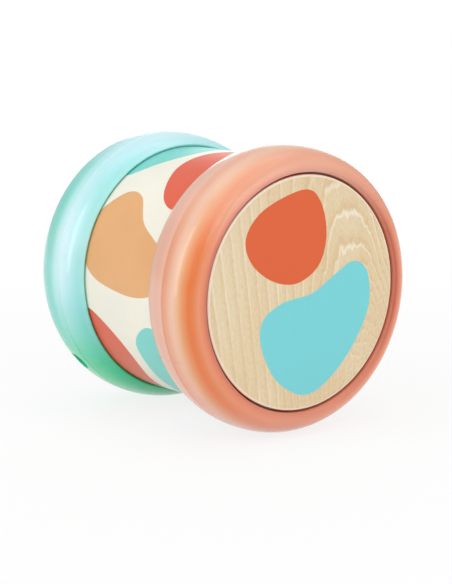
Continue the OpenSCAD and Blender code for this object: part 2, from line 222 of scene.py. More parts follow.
# A value carried from one range to another, held at its ends
def remap(tree, value, fromRange, toRange=(0, 1), **settings):
    node = addNode(tree, "ShaderNodeMapRange", **settings)
    for end, number in zip(("From Min", "From Max", "To Min", "To Max"), (*fromRange, *toRange)):
        node.inputs[end].default_value = number
    tree.links.new(value, node.inputs["Value"])
    return node.outputs["Result"]


def mapped(tree, scale=(1, 1, 1), rotation=(0, 0, 0), location=(0, 0, 0)):
    coordinates = addNode(tree, "ShaderNodeTexCoord")
    mapping = addNode(tree, "ShaderNodeMapping", Scale=scale, Rotation=rotation, Location=location)
    tree.links.new(coordinates.outputs["Object"], mapping.inputs["Vector"])
    return mapping.outputs["Vector"]


def axes(tree, vector):
    node = addNode(tree, "ShaderNodeSeparateXYZ")
    tree.links.new(vector, node.inputs[0])
    return node.outputs


def length(tree, vector):
    node = addNode(tree, "ShaderNodeVectorMath", operation="LENGTH")
    tree.links.new(vector, node.inputs[0])
    return node.outputs["Value"]


def noise(tree, vector, scale, detail=2, roughness=0.5):
    node = addNode(tree, "ShaderNodeTexNoise", Scale=scale, Detail=detail, Roughness=roughness)
    tree.links.new(vector, node.inputs["Vector"])
    return node.outputs["Fac"]


def mixColour(tree, factor, a, b):
    node = addNode(tree, "ShaderNodeMix", data_type="RGBA")
    for place, value in ((0, factor), (6, a), (7, b)):
        feed(tree, node.inputs[place], value)
    return node.outputs[2]


def calc(tree, operation, a, b):
    node = addNode(tree, "ShaderNodeMath", operation=operation)
    feed(tree, node.inputs[0], a)
    feed(tree, node.inputs[1], b)
    return node.outputs[0]


def times(tree, a, b):
    return calc(tree, "MULTIPLY", a, b)


def bump(tree, shader, height, strength, distance):
    node = addNode(tree, "ShaderNodeBump", Strength=strength, Distance=distance)
    tree.links.new(height, node.inputs["Height"])
    tree.links.new(node.outputs["Normal"], shader.inputs["Normal"])


# A colour that drifts softly to a darker tone of itself
def softTone(tree, place, scale, colour, darkest):
    return ramp(tree, noise(tree, place, scale, 3), [(0.35, shade(colour, darkest)), (0.65, colour)])


ringFinish = {
    "cloud": 22,                   # noise scale of the drifting tint
    "skin": 900,                   # and of the polished skin
    "roughness": (0.30, 0.42),
    "coat": 0.7,
    "coatRoughness": 0.13,
    "milk": 0.3,                   # share of the light that scatters under the skin
    "milkReach": (1.0, 0.7, 0.55),
    "milkDepth": 3 * mm,
    "skinBump": (0.03, 0.05 * mm),
}


# Ring plastic: milky moulding; its tint runs along the section (UV, from the barrel lip to the well)
# and drifts with height towards the height stops, whose alpha is their share; both ramps paint
# highlights and shade into the plastic's colour, and its emission is a painted glow
def ringPlastic(name, sectionTintAndPaintedLight, heightTintAndPaintedLight, glow):
    q = ringFinish
    material, tree, shader = newMaterial(name)
    uv = addNode(tree, "ShaderNodeUVMap", uv_map="grid").outputs["UV"]
    sectionTintAndLight = ramp(tree, axes(tree, uv)["Y"], sectionTintAndPaintedLight)
    place = mapped(tree)
    heightTintAndLight = ramp(tree, calc(tree, "DIVIDE", axes(tree, place)["Z"], 2 * axisZ), heightTintAndPaintedLight)
    cloud = noise(tree, place, q["cloud"], 3)
    drift = times(tree, heightTintAndLight.node.outputs["Alpha"], calc(tree, "ADD", cloud, 0.5))
    colour = mixColour(tree, drift, sectionTintAndLight, heightTintAndLight)
    skin = noise(tree, place, q["skin"], 2, 0.6)
    setSockets(tree, shader, {
        "Base Color": colour, "Emission Color": colour, "Emission Strength": glow,
        "Subsurface Weight": q["milk"], "Subsurface Radius": q["milkReach"],
        "Subsurface Scale": q["milkDepth"], "Roughness": remap(tree, skin, (0, 1), q["roughness"]),
        "Coat Weight": q["coat"], "Coat Roughness": q["coatRoughness"], "IOR": 1.49,
    })
    bump(tree, shader, skin, *q["skinBump"])
    return material


# Plain moulded plastic with a fine spark texture
def mouldedPlastic(name, colour, roughness):
    material, tree, shader = newMaterial(name)
    place = mapped(tree)
    setSockets(tree, shader, {"Base Color": softTone(tree, place, 60, colour, 0.97),
                              "Roughness": roughness})
    bump(tree, shader, noise(tree, place, 1400, 2, 0.7), 0.08, 0.1 * mm)
    return material


# Shrink sleeve of a cell: a dark wrap with a copper end and bare metal rims, by place along the cell
def cellWrap(name):
    low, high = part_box("batteries")
    material, tree, shader = newMaterial(name)
    place = mapped(tree)
    along = remap(tree, axes(tree, place)["Y"], (low.y, high.y))
    bare, dark, copper = paint(196, 196, 192), paint(48, 50, 56), paint(202, 140, 84)
    wrap = ramp(tree, along, [(0.0, bare), (0.025, bare), (0.030, dark), (0.68, dark),
                              (0.69, copper), (0.945, copper), (0.95, bare), (1.0, bare)])
    setSockets(tree, shader, {"Base Color": wrap, "Metallic": 0.35, "Roughness": 0.3})
    bump(tree, shader, noise(tree, place, 700), 0.03, 0.1 * mm)
    return material


# Plated steel for screws, springs and contacts
def platedSteel(name):
    material, tree, shader = newMaterial(name)
    streak = noise(tree, mapped(tree), 2200, 2, 0.6)
    tint = ramp(tree, streak, [(0.3, paint(168, 170, 172)), (0.7, paint(214, 214, 212))])
    setSockets(tree, shader, {"Base Color": tint, "Metallic": 1.0, "Roughness": 0.32})
    bump(tree, shader, streak, 0.1, 0.05 * mm)
    return material


woodFigure = {
    "peak": (27 * mm, 29 * mm),  # top of the flame figure, across and up from the head's middle
    "turn": -12,                 # degrees that the figure leans
    "half": 12 * mm,             # half width of an arch
    "leftFall": 4.2 * mm,        # fall of an arch at its half width, on each side
    "rightFall": 18 * mm,
    "power": 2.6,                # how fast the flanks steepen
    "lines": 5.2,                # growth lines for each e-fold of the level, so they spread further out
    "offset": 50 * mm,           # keeps the level above nought over the whole disc
    "grainLean": 4,              # degrees
    "fade": (18 * mm, 55 * mm),  # from the peak, the lines fade over this distance
    "strength": (0.64, 0.45),    # between these shares
    "whole": 5.2,                # how soon the lines are unbroken as their strength grows
    "honey": 0.75,               # depth of the tone behind each line
    "ground": paint(228, 208, 171),
    "behindLine": paint(206, 166, 108),
    "line": paint(255, 249, 234),
    "rim": (1.5 * mm, 0.9 * mm),  # in from the edge, where the painted highlight of the rounded rim starts and is full
    "rimHighlightShare": 0.95,
    "paintedRimHighlight": paint(254, 244, 224),
    "gapShadeDepth": (0.42 * mm, 0.7 * mm),  # depth under the face over which the edge darkens to a painted shade of the gap between head and ring
    "paintedGapShade": paint(176, 92, 62),
}
# Wobble of the level: draw along the grain, noise scale, detail, roughness and size
woodWaves = [(0.30, 230, 3, 0.6, 13 * mm), (0.35, 75, 2, 0.5, 16 * mm), (0.35, 24, 2, 0.5, 36 * mm)]
fibreNoise = (0.03, 1300, 3, 0.6)
# Over the figure: draw along the grain, noise scale, detail, roughness; where the layer starts and is
# full; its share and its tone
woodLayers = [
    ((0.30, 55, 3, 0.5), (0.42, 0.68), 0.43, paint(217, 182, 128)),  # streaks
    (fibreNoise, (0.42, 0.66), 0.16, paint(208, 178, 130)),
    ((0.60, 900, 2, 0.6), (0.40, 0.66), 0.24, paint(243, 229, 202)),  # mottle
    ((0.10, 2400, 2, 0.5), (0.60, 0.72), 0.30, paint(186, 150, 104)),  # pores
]


# Noise drawn out along the wood's grain
def grain(tree, draw, scale, detail, roughness):
    lean = (math.radians(woodFigure["grainLean"]), 0, 0)
    return noise(tree, mapped(tree, (1, 1, draw), lean), scale, detail, roughness)


# Flat-cut veneer: growth lines are the level lines of
# height + fall x (distance across / half width) to a power + wobble,
# nested arches that run off into steep flanks, pale on a beige ground, under fine fibres and pores
def plywood(name):
    q = woodFigure
    material, tree, shader = newMaterial(name)
    peak = (headFace, q["peak"][0], axisZ + q["peak"][1])
    leant = addNode(tree, "ShaderNodeVectorRotate", rotation_type="X_AXIS", Center=peak,
                    Angle=math.radians(q["turn"]))
    tree.links.new(mapped(tree), leant.inputs["Vector"])
    fromPeak = addNode(tree, "ShaderNodeVectorMath", operation="SUBTRACT")
    feed(tree, fromPeak.inputs[0], leant.outputs[0])
    feed(tree, fromPeak.inputs[1], peak)
    spot = axes(tree, fromPeak.outputs[0])
    across, up = spot["Y"], spot["Z"]

    # Level and its lines
    outFrom = calc(tree, "DIVIDE", calc(tree, "ABSOLUTE", across, 0), q["half"])
    onRight = calc(tree, "GREATER_THAN", across, 0)
    fall = calc(tree, "ADD", times(tree, onRight, q["rightFall"] - q["leftFall"]), q["leftFall"])
    level = calc(tree, "ADD", up, times(tree, calc(tree, "POWER", outFrom, q["power"]), fall))
    for *wave, size in woodWaves:
        level = calc(tree, "ADD", level, times(tree, grain(tree, *wave), size))
    depth = calc(tree, "LOGARITHM", calc(tree, "ADD", level, q["offset"]), math.e)
    band = calc(tree, "FRACT", times(tree, depth, q["lines"]), 0)
    pale = ramp(tree, band, [(0.73, grey(0)), (0.82, grey(1)), (0.88, grey(0.8)), (0.95, grey(0))])
    honey = ramp(tree, band, [(0.0, grey(1)), (0.35, grey(0)), (0.92, grey(0)), (1.0, grey(1))])

    # Strong near the peak, broken and faint away from it
    strength = remap(tree, length(tree, fromPeak.outputs[0]), q["fade"], q["strength"])
    nearPeak = times(tree, calc(tree, "SUBTRACT", strength, q["strength"][1]), q["whole"])
    broken = mask(tree, grain(tree, 0.2, 70, 2, 0.5), 0.40, 0.60, 0.08)
    shown = times(tree, calc(tree, "MAXIMUM", broken, nearPeak), strength)
    deep = times(tree, times(tree, honey, q["honey"]), strength)
    toned = mixColour(tree, deep, q["ground"], q["behindLine"])
    colour = mixColour(tree, times(tree, pale, shown), toned, q["line"])
    for layer, edges, share, tone in woodLayers:
        shownLayer = mask(tree, grain(tree, *layer), *edges)
        colour = mixColour(tree, times(tree, shownLayer, share), colour, tone)

    # Painted highlight on the rounded rim, and painted shade of the gap round the edge below the face
    fromAxis = length(tree, mapped(tree, (0, 1, 1), location=(0, 0, -axisZ)))
    rim = remap(tree, fromAxis, [headRadius - inset for inset in q["rim"]])
    colour = mixColour(tree, times(tree, rim, q["rimHighlightShare"]), colour, q["paintedRimHighlight"])
    # Painted shade of the gap between the head and the ring, on the edge below the face
    under = remap(tree, axes(tree, mapped(tree))["X"], [headFace - inset for inset in q["gapShadeDepth"]])
    colour = mixColour(tree, under, colour, q["paintedGapShade"])
    setSockets(tree, shader, {"Base Color": colour, "Roughness": 0.5, "Coat Weight": 0.05,
                              "Coat Roughness": 0.35})
    bump(tree, shader, grain(tree, *fibreNoise), 0.08, 0.2 * mm)
    return material


# Satin ink on wood: flat colour over a trace of the grain
def inkOnWood(name, colour):
    material, tree, shader = newMaterial(name)
    fibre = grain(tree, *fibreNoise)
    trace = times(tree, mask(tree, fibre, 0.42, 0.70), 0.18)
    setSockets(tree, shader, {"Base Color": mixColour(tree, trace, colour, shade(colour, 0.92)),
                              "Roughness": 0.55, "Specular IOR Level": 0.3})
    bump(tree, shader, fibre, 0.03, 0.2 * mm)
    return material


# Ink on the printed sleeve: smooth, with a faint paper tooth
def inkOnSleeve(name, colour):
    material, tree, shader = newMaterial(name)
    place = mapped(tree)
    setSockets(tree, shader, {"Base Color": softTone(tree, place, 40, colour, 0.95),
                              "Roughness": 0.42, "Coat Weight": 0.05, "Coat Roughness": 0.25})
    bump(tree, shader, noise(tree, place, 1800, 2, 0.6), 0.05, 0.08 * mm)
    return material


# Ring tints: place along the section or share of the height, and the colour there. Besides the
# plastics' own colours they hold painted light: on the coral, a painted highlight streak about 0.56-0.60
# along the section, painted shade in the gap to the well about 0.905-0.97, paler towards the top and
# darker towards the bottom; on the teal, painted shade in the dark line at the barrel lip with a painted
# highlight line beside it, a broad painted highlight band about 0.20-0.42, paler at the top with a
# painted highlight band a little above the middle, and greener towards the bottom
coralTintAndPaintedLight = [(0.00, paint(218, 164, 138)), (0.12, paint(220, 164, 140)), (0.34, paint(222, 167, 144)),
              (0.425, paint(228, 176, 152)), (0.445, paint(220, 148, 116)), (0.50, paint(224, 156, 124)),
              (0.56, paint(230, 180, 150)), (0.60, paint(231, 188, 162)), (0.65, paint(228, 176, 136)),
              (0.70, paint(224, 150, 94)), (0.77, paint(223, 111, 36)), (0.81, paint(222, 118, 52)),
              (0.87, paint(226, 142, 100)), (0.905, paint(222, 128, 90)), (0.935, paint(208, 108, 76)),
              (0.955, paint(178, 84, 58)), (0.97, paint(196, 104, 78)), (1.00, paint(216, 130, 102))]
coralHeightTintAndPaintedLight = [(0.00, paint(222, 150, 128, 0.75)), (0.20, paint(226, 138, 98, 0.28)),
                (0.42, paint(226, 148, 108, 0.0)), (0.68, paint(228, 170, 140, 0.0)),
                (0.84, paint(232, 186, 163, 0.42)), (1.00, paint(228, 176, 154, 0.60))]
tealTintAndPaintedLight = [(0.00, paint(40, 156, 122)), (0.025, paint(64, 176, 144)), (0.040, paint(164, 224, 218)),
             (0.10, paint(150, 215, 213)), (0.20, paint(180, 225, 228)), (0.31, paint(208, 233, 238)),
             (0.42, paint(182, 224, 224)), (0.50, paint(112, 203, 188)), (0.57, paint(84, 194, 174)),
             (0.75, paint(108, 202, 186)), (0.90, paint(126, 203, 192)), (1.00, paint(110, 192, 178))]
tealHeightTintAndPaintedLight = [(0.00, paint(22, 204, 138, 1.0)), (0.18, paint(38, 200, 146, 0.92)),
               (0.385, paint(112, 205, 200, 0.50)), (0.50, paint(160, 221, 222, 0.22)),
               (0.63, paint(208, 236, 240, 0.22)), (0.78, paint(146, 215, 212, 0.30)),
               (0.88, paint(148, 214, 217, 0.45)), (1.00, paint(204, 234, 243, 0.85))]
# Emission strength of each ring's tint: a painted glow that lightens the rings' shaded parts
coralPaintedGlow, tealPaintedGlow = 0.06, 0.11
coralPlastic = ringPlastic("coral ring plastic", coralTintAndPaintedLight, coralHeightTintAndPaintedLight, coralPaintedGlow)
tealPlastic = ringPlastic("teal ring plastic", tealTintAndPaintedLight, tealHeightTintAndPaintedLight, tealPaintedGlow)
plywoodFace = plywood("plywood face")
redInkWood = inkOnWood("red ink on wood", paint(223, 99, 55))
turquoiseInkWood = inkOnWood("turquoise ink on wood", paint(122, 212, 217))
sleeveStock = inkOnSleeve("cream sleeve", paint(244, 241, 226))
tanInk = inkOnSleeve("tan ink", paint(231, 174, 117))
redInk = inkOnSleeve("red ink", paint(227, 96, 66))
turquoiseInk = inkOnSleeve("turquoise ink", paint(124, 216, 208))
framePlastic = mouldedPlastic("frame plastic", paint(226, 226, 222), 0.5)
coverPlastic = mouldedPlastic("cover plastic", paint(246, 242, 228), 0.45)
darkPlastic = mouldedPlastic("dark plastic", paint(52, 52, 56), 0.5)
boardGreen = mouldedPlastic("board lacquer", paint(50, 120, 84), 0.35)
lampClear = mouldedPlastic("lamp resin", paint(240, 236, 200), 0.2)
cellSleeve = cellWrap("cell sleeve")
steel = platedSteel("plated steel")
knobPlastic = mouldedPlastic("knob plastic", paint(232, 132, 104), 0.4)
print("stage: materials")

# CAD nodes that stay get their finish here
nodeFinish = {
    "head_tray": framePlastic, "front_frame": framePlastic, "rear_frame": framePlastic,
    "barrel_tube": framePlastic, "tap_board": boardGreen, "front_light_board": boardGreen,
    "rear_light_board": boardGreen, "main_board": boardGreen, "front_leds": lampClear,
    "rear_leds": lampClear, "tap_switch": darkPlastic, "board_parts": darkPlastic,
    "power_switch_body": darkPlastic, "speaker_cone": darkPlastic, "speaker_basket": steel,
    "speaker_magnet": steel, "tray_screws": steel, "tube_screws": steel, "teal_ring_screws": steel,
    "door_screw": steel, "battery_contacts": steel, "batteries": cellSleeve,
}
for name, material in nodeFinish.items():
    nodes[name].data.materials.clear()
    nodes[name].data.materials.append(material)

# Rings

ringShape = {
    "drop": 10 * mm,            # height of the round section
    "front": 17.5 * mm,         # half width towards the drum's end
    "back": 19.2 * mm,          # half width towards the barrel, before the lip
    "power": 2.1,
    "lipFront": (1.5 * mm, 2 * mm),
    "wellRadius": 53.5 * mm,
    "wellBottom": 9 * mm,
    "lipBack": 1 * mm,
    "lipGap": 0.2 * mm,
    "wall": 2.4 * mm,
    "wellWall": 1.8 * mm,
    "lipWall": 0.8 * mm,        # inside the barrel lip
    "lipFloor": 2 * mm,         # width of the lip's inner land
    "coralSeam": 0,             # where the two shells meet, outwards from the ring's middle
    "tealSeam": -5 * mm,
    "seamWidth": 0.30 * mm,
    "seamDepth": 0.22 * mm,
    "mouldLine": -23,           # degrees from level, and again half a turn on
    "mouldWidth": 0.10,         # degrees
    "mouldDepth": 0.10 * mm,
    "mouldRows": (-3, -1, -0.5, 0, 0.5, 1, 3),  # rows of points about a mould line, in widths
    "turnSteps": 256,
    "backSteps": 40,
    "frontSteps": 48,
    "insideSteps": 24,
    "grooveSteps": 5,
}
ringMid = coralHigh.x - ringShape["front"]


# Quarter of the rounded section from the crest to the side: cosine and sine raised to 2/power
def roundQuarter(base, drop, half, t):
    e = 2 / ringShape["power"]
    return np.stack([half * np.sin(t) ** e, base + drop * np.cos(t) ** e], -1)


# Turns of a quarter section, with extra ones at given distances from the crest
def quarterTurns(last, count, half, places):
    near = np.array([place for place in places if 0 < place < half])
    extra = np.arcsin((near / half) ** (ringShape["power"] / 2))
    return np.unique(np.concatenate([np.linspace(0, last, count), extra]))


# Turn of a quarter section at which it comes down to a given radius
def turnAt(radius, base, drop):
    return math.acos(((radius - base) / drop) ** (ringShape["power"] / 2))


# Closed section of a hollow ring as (distance outwards from the ring's middle, radius), its outer
# face first; a fine V groove runs where the two shells meet
def ringSection(seam):
    q = ringShape
    base = ringRadius - q["drop"]
    lipCentre = barrelRadius + q["lipGap"] + q["lipBack"]
    groove = seam + q["seamWidth"] * np.linspace(-1, 1, q["grooveSteps"])
    backTurns = quarterTurns(turnAt(lipCentre, base, q["drop"]), q["backSteps"], q["back"], -groove)
    back = roundQuarter(base, q["drop"], q["back"], backTurns[::-1]) * [-1, 1]
    backLip = arc((back[0, 0] + q["lipBack"], lipCentre), (q["lipBack"],) * 2, 270, 180, 10)
    frontTurns = quarterTurns(np.pi / 2, q["frontSteps"], q["front"], groove)
    front = roundQuarter(base, q["drop"], q["front"], frontTurns)
    lipR, lipS = q["lipFront"]
    frontLip = arc((q["front"] - lipS, base), (lipS, lipR), 0, -90, 14)
    outside = np.concatenate([backLip[:-1], back, front[1:], frontLip[1:]])
    fromSeam = np.abs(outside[:, 0] - seam) / q["seamWidth"]
    outside[:, 1] -= q["seamDepth"] * np.clip(1 - fromSeam, 0, 1)
    innerBase = q["wellRadius"] + q["wellWall"]
    innerDrop = ringRadius - q["wall"] - innerBase
    innerTurn = turnAt(lipCentre + q["lipWall"], innerBase, innerDrop)
    frontTurns = np.linspace(np.pi / 2, 0, q["insideSteps"])
    backTurns = np.linspace(0, innerTurn, q["insideSteps"])
    inside = roundQuarter(innerBase, innerDrop, q["front"] - q["wall"], frontTurns)
    insideBack = roundQuarter(innerBase, innerDrop, q["back"] - q["wall"], backTurns) * [-1, 1]
    well = np.array([[q["wellBottom"], q["wellRadius"]], [q["wellBottom"], innerBase]])
    end = np.array([[backLip[0, 0] + q["lipFloor"], backLip[0, 1]]])
    return np.concatenate([outside, well, inside, insideBack[1:], end]), len(outside)


# The section turned about the axis; two hairline mould lines are sunk into the outer face by
# scaling its radius down in a narrow V of angle
def ringGrid(middle, outwards, seam):
    q = ringShape
    section, outer = ringSection(seam)
    line = math.radians(q["mouldLine"])
    width = math.radians(q["mouldWidth"])
    angles = turnAngles(q["turnSteps"], (line, line + np.pi), width * np.array(q["mouldRows"]))
    fromLine = np.abs(np.mod(angles - line + np.pi / 2, np.pi) - np.pi / 2)
    sunk = q["mouldDepth"] / ringRadius * np.clip(1 - fromLine / width, 0, 1)
    grid = turned(section, angles)
    axis = np.array([0, 0, axisZ])
    scale = 1 - sunk[:, None, None] * np.array([0, 1, 1])
    grid[:, :outer] = axis + (grid[:, :outer] - axis) * scale
    grid[..., 0] = middle + outwards * grid[..., 0]
    steps = np.linalg.norm(np.diff(section[:outer], axis=0), axis=1)
    run = np.concatenate([[0], np.cumsum(steps)])
    share = np.concatenate([run / run[-1], np.ones(len(section) - outer + 1)])
    return grid, share


grid, share = ringGrid(ringMid, 1, ringShape["coralSeam"])
coralRing = gridObject("coral_ring", grid, True, True, columnShare=share)
dress(coralRing, "drum", coralPlastic, "coral_plastic", "coral_ring_front", "coral_ring_back")
grid, share = ringGrid(-ringMid, -1, ringShape["tealSeam"])
tealRing = gridObject("teal_ring", grid, True, True, columnShare=share)

recessShape = {
    "angles": (-42, 138),       # degrees from level on the -Y side
    "along": 4.5 * mm,          # from the ring's middle towards the drum's end
    "radius": 5.25 * mm,
    "floor": 59.4 * mm,
    "floorThick": 1.5 * mm,
    "wall": 1.2 * mm,
    "top": 62.75 * mm,          # the cup ends inside the ring's own wall
    "edge": 0.35 * mm,
    "edgeSteps": 4,
    "slack": 0.02 * mm,         # how near to the bore's radius a rim edge lies
    "sides": 72,
}
recessMiddle = np.array([-ringMid - recessShape["along"], 0, axisZ])


# Unit vectors at a recess: out along the radius, and around the drum
def recessAxes(angle):
    a = math.radians(angle)
    return np.array([0, -math.cos(a), math.sin(a)]), np.array([0, math.sin(a), math.cos(a)])


# A profile of (distance from the drum axis, radius) turned about the radial line of a recess
def radialGrid(profile, angle):
    outwards, around = recessAxes(angle)
    t = np.arange(recessShape["sides"]) * 2 * np.pi / recessShape["sides"]
    ring = np.cos(t)[:, None] * np.array([1, 0, 0]) + np.sin(t)[:, None] * around
    height, radius = np.array(profile).T
    return recessMiddle + height[:, None, None] * outwards + radius[:, None, None] * ring


# Rounds the rim that a cutter leaves: the edges at the cutter's radius, above the cup
def roundRim(ring, angle):
    q = recessShape
    outwards, around = recessAxes(angle)
    work = bmesh.new()
    work.from_mesh(ring.data)
    rim = []
    for edge in work.edges:
        if len(edge.link_faces) != 2 or edge.calc_face_angle() < cornerAngle:
            continue
        ends = [np.array(v.co) - recessMiddle for v in edge.verts]
        offRadius = [abs(math.hypot(end[0], end @ around) - q["radius"]) for end in ends]
        heights = [end @ outwards for end in ends]
        if min(heights) > q["top"] and max(offRadius) < q["slack"]:
            rim.append(edge)
    bmesh.ops.bevel(work, geom=rim, offset=q["edge"], segments=q["edgeSteps"], profile=0.5,
                    affect="EDGES")
    work.to_mesh(ring.data)
    work.free()


# The screw recesses are bored straight into the rear ring's tread
def cutRecesses(ring):
    q = recessShape
    beyond = ringRadius + q["wall"]
    bore = [(q["floor"], 0), (q["floor"], q["radius"]), (beyond, q["radius"]), (beyond, 0)]
    for angle in q["angles"]:
        cutter = gridObject("cutter", radialGrid(bore, angle), False, True)
        cut = ring.modifiers.new("recess", "BOOLEAN")
        cut.operation = "DIFFERENCE"
        cut.solver = "EXACT"
        cut.object = cutter
        bpy.context.view_layer.objects.active = ring
        bpy.ops.object.modifier_apply(modifier=cut.name)
        bpy.data.objects.remove(cutter)
        roundRim(ring, angle)


# Cup of a recess: wall and floor of the well under the bored tread
def cupGrid(angle):
    q = recessShape
    outer = q["radius"] + q["wall"]
    under = q["floor"] - q["floorThick"]
    return radialGrid([(under, 0), (under, outer), (q["top"], outer), (q["top"], q["radius"]),
                       (q["floor"], q["radius"]), (q["floor"], 0)], angle)


cutRecesses(tealRing)
closeUp(tealRing)
dress(tealRing, "drum", tealPlastic, "teal_plastic", "teal_ring_outer", "teal_ring_back")
for count, angle in enumerate(recessShape["angles"], 1):
    cup = gridObject(f"teal_recess_cup_{count}", cupGrid(angle), False, True)
    dress(cup, "drum", tealPlastic, "teal_plastic")
print("stage: rings")

# Wooden head

headShape = {"round": 1.5 * mm, "backRound": 0.4 * mm, "faceSteps": 24, "turnSteps": 192}


# Disc section from the middle of the face, over the rounded edge, to the middle of the back
def headGrid():
    q = headShape
    flat = np.linspace(0, headRadius - q["round"], q["faceSteps"])
    face = np.stack([np.full_like(flat, headFace), flat], -1)
    edge = arc((headFace - q["round"], headRadius - q["round"]), (q["round"],) * 2, 0, 90, 12)
    backCentre = (headLow.x + q["backRound"], headRadius - q["backRound"])
    back = arc(backCentre, (q["backRound"],) * 2, 90, 180, 5)
    centre = np.array([[headLow.x, 0]])
    section = np.concatenate([face[:-1], edge, back, centre])
    return turned(section, turnAngles(q["turnSteps"]))


woodHead = gridObject("wooden_head", headGrid(), True, False)
dress(woodHead, "head", plywoodFace, "wood", "drum_head")

# Painted patches: outline points in millimetres, on the head as (across, up) from its middle and
# on the barrel as (degrees up from level on the -Y side, distance along the axis)
headPatches = {
    "head_patch_red": (redInkWood, [(0, 46), (9.5, 40), (13, 25), (8.5, 11.5), (-4, 4.8), (-18, 7.4),
                                    (-29.5, 16.5), (-32, 28), (-22, 39)]),
    "head_patch_turquoise": (turquoiseInkWood, [(29, 11.6), (17, 6), (5, -0.5), (-12, -3.2), (-23, -10),
                                                (-23.5, -22), (-15, -37.5), (0, -46), (14, -41.6),
                                                (29, -27.5), (38.5, -10), (37.5, 6)]),
}
barrelPatches = {
    "barrel_patch_tan": (tanInk, [(33, -27), (44.5, -15), (43, -2.5), (31, 9), (24, 22), (20, 29),
                                  (4, 29.5), (-1, 22), (-2.4, 6.4), (0.5, -14), (5, -24), (12, -29),
                                  (24, -29.5)]),
    "barrel_patch_red_top": (redInk, [(39.5, 23), (44, 13), (54, 5.5), (66, 0.8), (80, 1.6), (94, 8),
                                      (102, 18), (98, 28), (80, 29.5), (58, 29.5), (44, 29)]),
    "barrel_patch_turquoise_top": (turquoiseInk, [(54, -26), (62, -17), (76, -6.5), (92, -4), (106, -10),
                                                  (110, -22), (100, -29), (78, -29.5), (60, -29.5)]),
    "barrel_patch_red_low": (redInk, [(-13, -27), (-19, -15.5), (-28, -7), (-38, -4), (-49, -6),
                                      (-64, -11), (-72, -20), (-66, -29), (-44, -29.5), (-20, -29.5)]),
    "barrel_patch_turquoise_low": (turquoiseInk, [(-15, 22), (-18, 13), (-26, 5.5), (-38, 5), (-52, 4.6),
                                                  (-66, 9), (-74, 20), (-68, 29), (-44, 29.5),
                                                  (-20, 29)]),
    "barrel_patch_tan_under": (tanInk, [(-88, -20), (-96, -8), (-92, 8), (-98, 20), (-114, 24),
                                        (-128, 14), (-130, -4), (-120, -20), (-104, -27)]),
    "barrel_patch_red_back": (redInk, [(140, 29), (134, 16), (140, 4), (154, -1), (170, 4), (178, 15),
                                       (174, 28), (158, 29.5)]),
    "barrel_patch_turquoise_back": (turquoiseInk, [(128, -14), (136, -6), (150, -10), (166, -12),
                                                   (178, -20), (174, -29), (152, -29.5), (134, -26)]),
    "barrel_patch_tan_back": (tanInk, [(190, -28), (186, -14), (192, 0), (190, 14), (196, 25), (210, 22),
                                       (216, 8), (212, -8), (216, -20), (206, -28)]),
}
patchShape = {
    "proud": 0.05 * mm,
    "sunk": 0.05 * mm,
    "edgeShare": 0.6,           # height of the edge against the middle
    "rings": 26,
    "sharp": 60,                # degrees
}


# A patch fills its outline from a middle point outwards: point = middle + share x (outline - middle);
# the upper sheet stands proud and the lower one lies just inside the carrier, so the patch is closed
def patchGrid(outline):
    q = patchShape
    curve = closedCurve(outline)
    middle = curve.mean(0)
    share = np.concatenate([np.linspace(0, 1, q["rings"]), np.linspace(1, 0, q["rings"])])
    level = np.concatenate([np.full(q["rings"], q["proud"]), np.full(q["rings"], -q["sunk"])])
    level[q["rings"] - 1] = q["edgeShare"] * q["proud"]
    flat = middle + share[:, None, None] * (curve - middle)[None]
    return flat, np.broadcast_to(level[:, None], flat.shape[:2])


for name, (material, outline) in headPatches.items():
    flat, level = patchGrid(outline)
    grid = np.stack([headFace + level, flat[..., 0] * mm, axisZ + flat[..., 1] * mm], -1)
    dress(gridObject(name, grid, False, True, patchShape["sharp"]), "head", material, "wood")

for name, (material, outline) in barrelPatches.items():
    flat, level = patchGrid(outline)
    angle = np.radians(flat[..., 0])
    r = barrelRadius + level
    grid = np.stack([flat[..., 1] * mm, -r * np.cos(angle), axisZ + r * np.sin(angle)], -1)
    dress(gridObject(name, grid, False, True, patchShape["sharp"]), "drum", material, "printed_sleeve")
print("stage: head and patches")

# Printed sleeve: the barrel's outer skin

sleeveShape = {"wall": 1 * mm, "round": 0.3 * mm, "longSteps": 20, "turnSteps": 192}


# Tube section: the outer face, small rounds at both hidden ends and the bore
def sleeveGrid():
    q = sleeveShape
    r = barrelRadius
    x0, x1 = sleeveLow.x, sleeveHigh.x
    along = np.linspace(x0 + q["round"], x1 - q["round"], q["longSteps"])
    outer = np.stack([along, np.full_like(along, r)], -1)
    endRound = arc((x1 - q["round"], r - q["round"]), (q["round"],) * 2, 90, 0, 5)
    startRound = arc((x0 + q["round"], r - q["round"]), (q["round"],) * 2, 180, 90, 5)
    inner = np.array([[x1, r - q["wall"]], [x0, r - q["wall"]]])
    section = np.concatenate([outer, endRound[1:], inner, startRound[:-1]])
    return turned(section, turnAngles(q["turnSteps"]))


sleeve = gridObject("printed_sleeve", sleeveGrid(), True, True)
dress(sleeve, "drum", sleeveStock, "printed_sleeve", "barrel_sleeve")
print("stage: sleeve")

# Return springs behind the head: a round wire carried along a helix, its end turns wound close

springShape = {
    "turns": 6,
    "radius": 3.4 * mm,         # of the helix
    "wire": 0.45 * mm,          # radius of the wire
    "at": 38 * mm,              # from the drum axis
    "angles": (45, 135, 225, 315),
    "closePitch": 0.3,          # pitch of the end turns as a share of the open ones
    "closeTurns": 0.7,          # turns at each end that are wound close
    "easeTurns": 0.6,           # turns over which the pitch then opens
    "steps": 30,                # to a turn
    "sides": 12,
}
springLow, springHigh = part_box("head_springs")
springLength = springHigh.x - springLow.x


